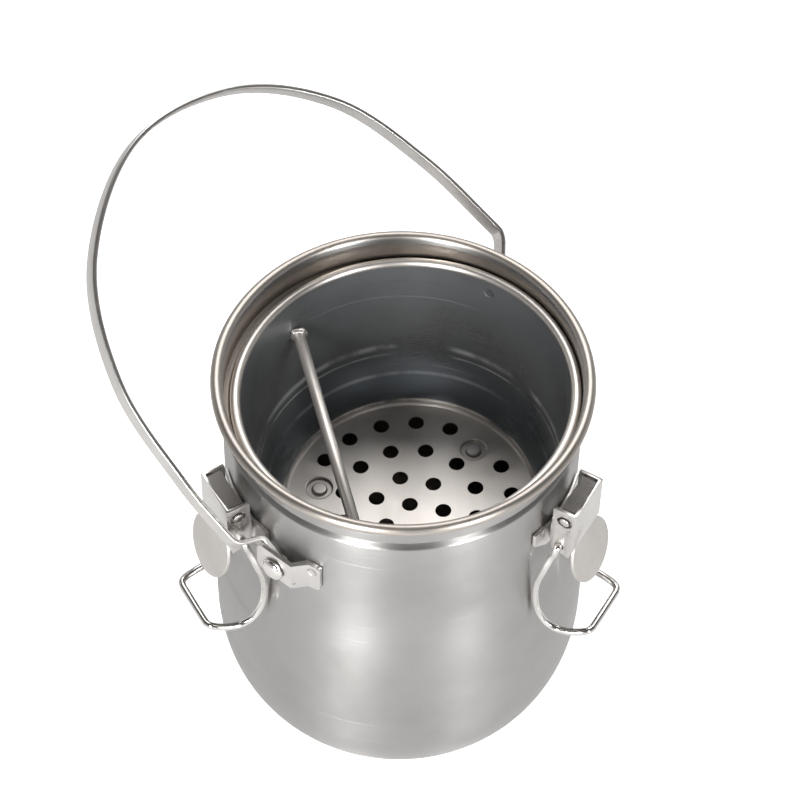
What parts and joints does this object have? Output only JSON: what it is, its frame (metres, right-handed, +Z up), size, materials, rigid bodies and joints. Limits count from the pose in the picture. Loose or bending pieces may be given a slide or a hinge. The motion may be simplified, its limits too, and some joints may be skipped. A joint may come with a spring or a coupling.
{
  "type": "brush washer",
  "caption": "Stainless steel brush washer: open can, lift-out strainer cup with a wiping bar, swinging bail and wire-loop lid latches.",
  "frame": {"origin": "centre of the can's flat base, on the table", "axes": "+Z up along the can axis; the front faces -Y, +X to the right; latches at 330.5, 210.5 and 90.5 degrees round from +X"},
  "size_m": [0.1448, 0.1368, 0.1599],
  "materials": {
    "satin_steel": "satin",
    "polished_steel": "polished"
  },
  "bodies": {
    "can": {"can_body": "satin_steel", "near_bail_lug": "satin_steel", "near_bail_rivet": "polished_steel", "far_bail_lug": "satin_steel", "far_bail_rivet": "polished_steel", "right_latch_bracket": "satin_steel", "right_latch_pin": "polished_steel", "left_latch_bracket": "satin_steel", "left_latch_pin": "polished_steel", "back_latch_bracket": "satin_steel", "back_latch_pin": "polished_steel"},
    "cup": {"strainer_cup": "satin_steel", "wiping_bar": "polished_steel"},
    "bail": {"bail": "satin_steel"},
    "right_lever": {"right_latch_lever": "satin_steel"},
    "right_loop": {"right_latch_loop": "polished_steel"},
    "left_lever": {"left_latch_lever": "satin_steel"},
    "left_loop": {"left_latch_loop": "polished_steel"},
    "back_lever": {"back_latch_lever": "satin_steel"},
    "back_loop": {"back_latch_loop": "polished_steel"}
  },
  "joints": [
    {"name": "cup_lift", "type": "slide", "parent": "can", "child": "cup", "axis": [0, 0, 1], "range_m": [0, 0.063]},
    {"name": "bail_swing", "type": "hinge", "parent": "can", "child": "bail", "pos_m": [0, 0, 0.0943], "axis": [0.6293, 0.7771, 0], "range_deg": [0, 77]},
    {"name": "right_lever_swing", "type": "hinge", "parent": "can", "child": "right_lever", "pos_m": [0.04674, -0.02644, 0.1066], "axis": [-0.4924, -0.8704, 0], "range_deg": [0, 90]},
    {"name": "right_loop_swing", "type": "hinge", "parent": "right_lever", "child": "right_loop", "pos_m": [0.04595, -0.026, 0.0954], "axis": [-0.4924, -0.8704, 0], "range_deg": [0, 125]},
    {"name": "left_lever_swing", "type": "hinge", "parent": "can", "child": "left_lever", "pos_m": [-0.04627, -0.02725, 0.1066], "axis": [-0.5075, 0.8616, 0], "range_deg": [0, 2]},
    {"name": "left_loop_swing", "type": "hinge", "parent": "left_lever", "child": "left_loop", "pos_m": [-0.04549, -0.0268, 0.0954], "axis": [-0.5075, 0.8616, 0], "range_deg": [0, 116]},
    {"name": "back_lever_swing", "type": "hinge", "parent": "can", "child": "back_lever", "pos_m": [-0.00047, 0.0537, 0.1066], "axis": [1, 0.0087, 0], "range_deg": [0, 90]},
    {"name": "back_loop_swing", "type": "hinge", "parent": "back_lever", "child": "back_loop", "pos_m": [-0.00046, 0.0528, 0.0954], "axis": [1, 0.0087, 0], "range_deg": [0, 108]}
  ]
}
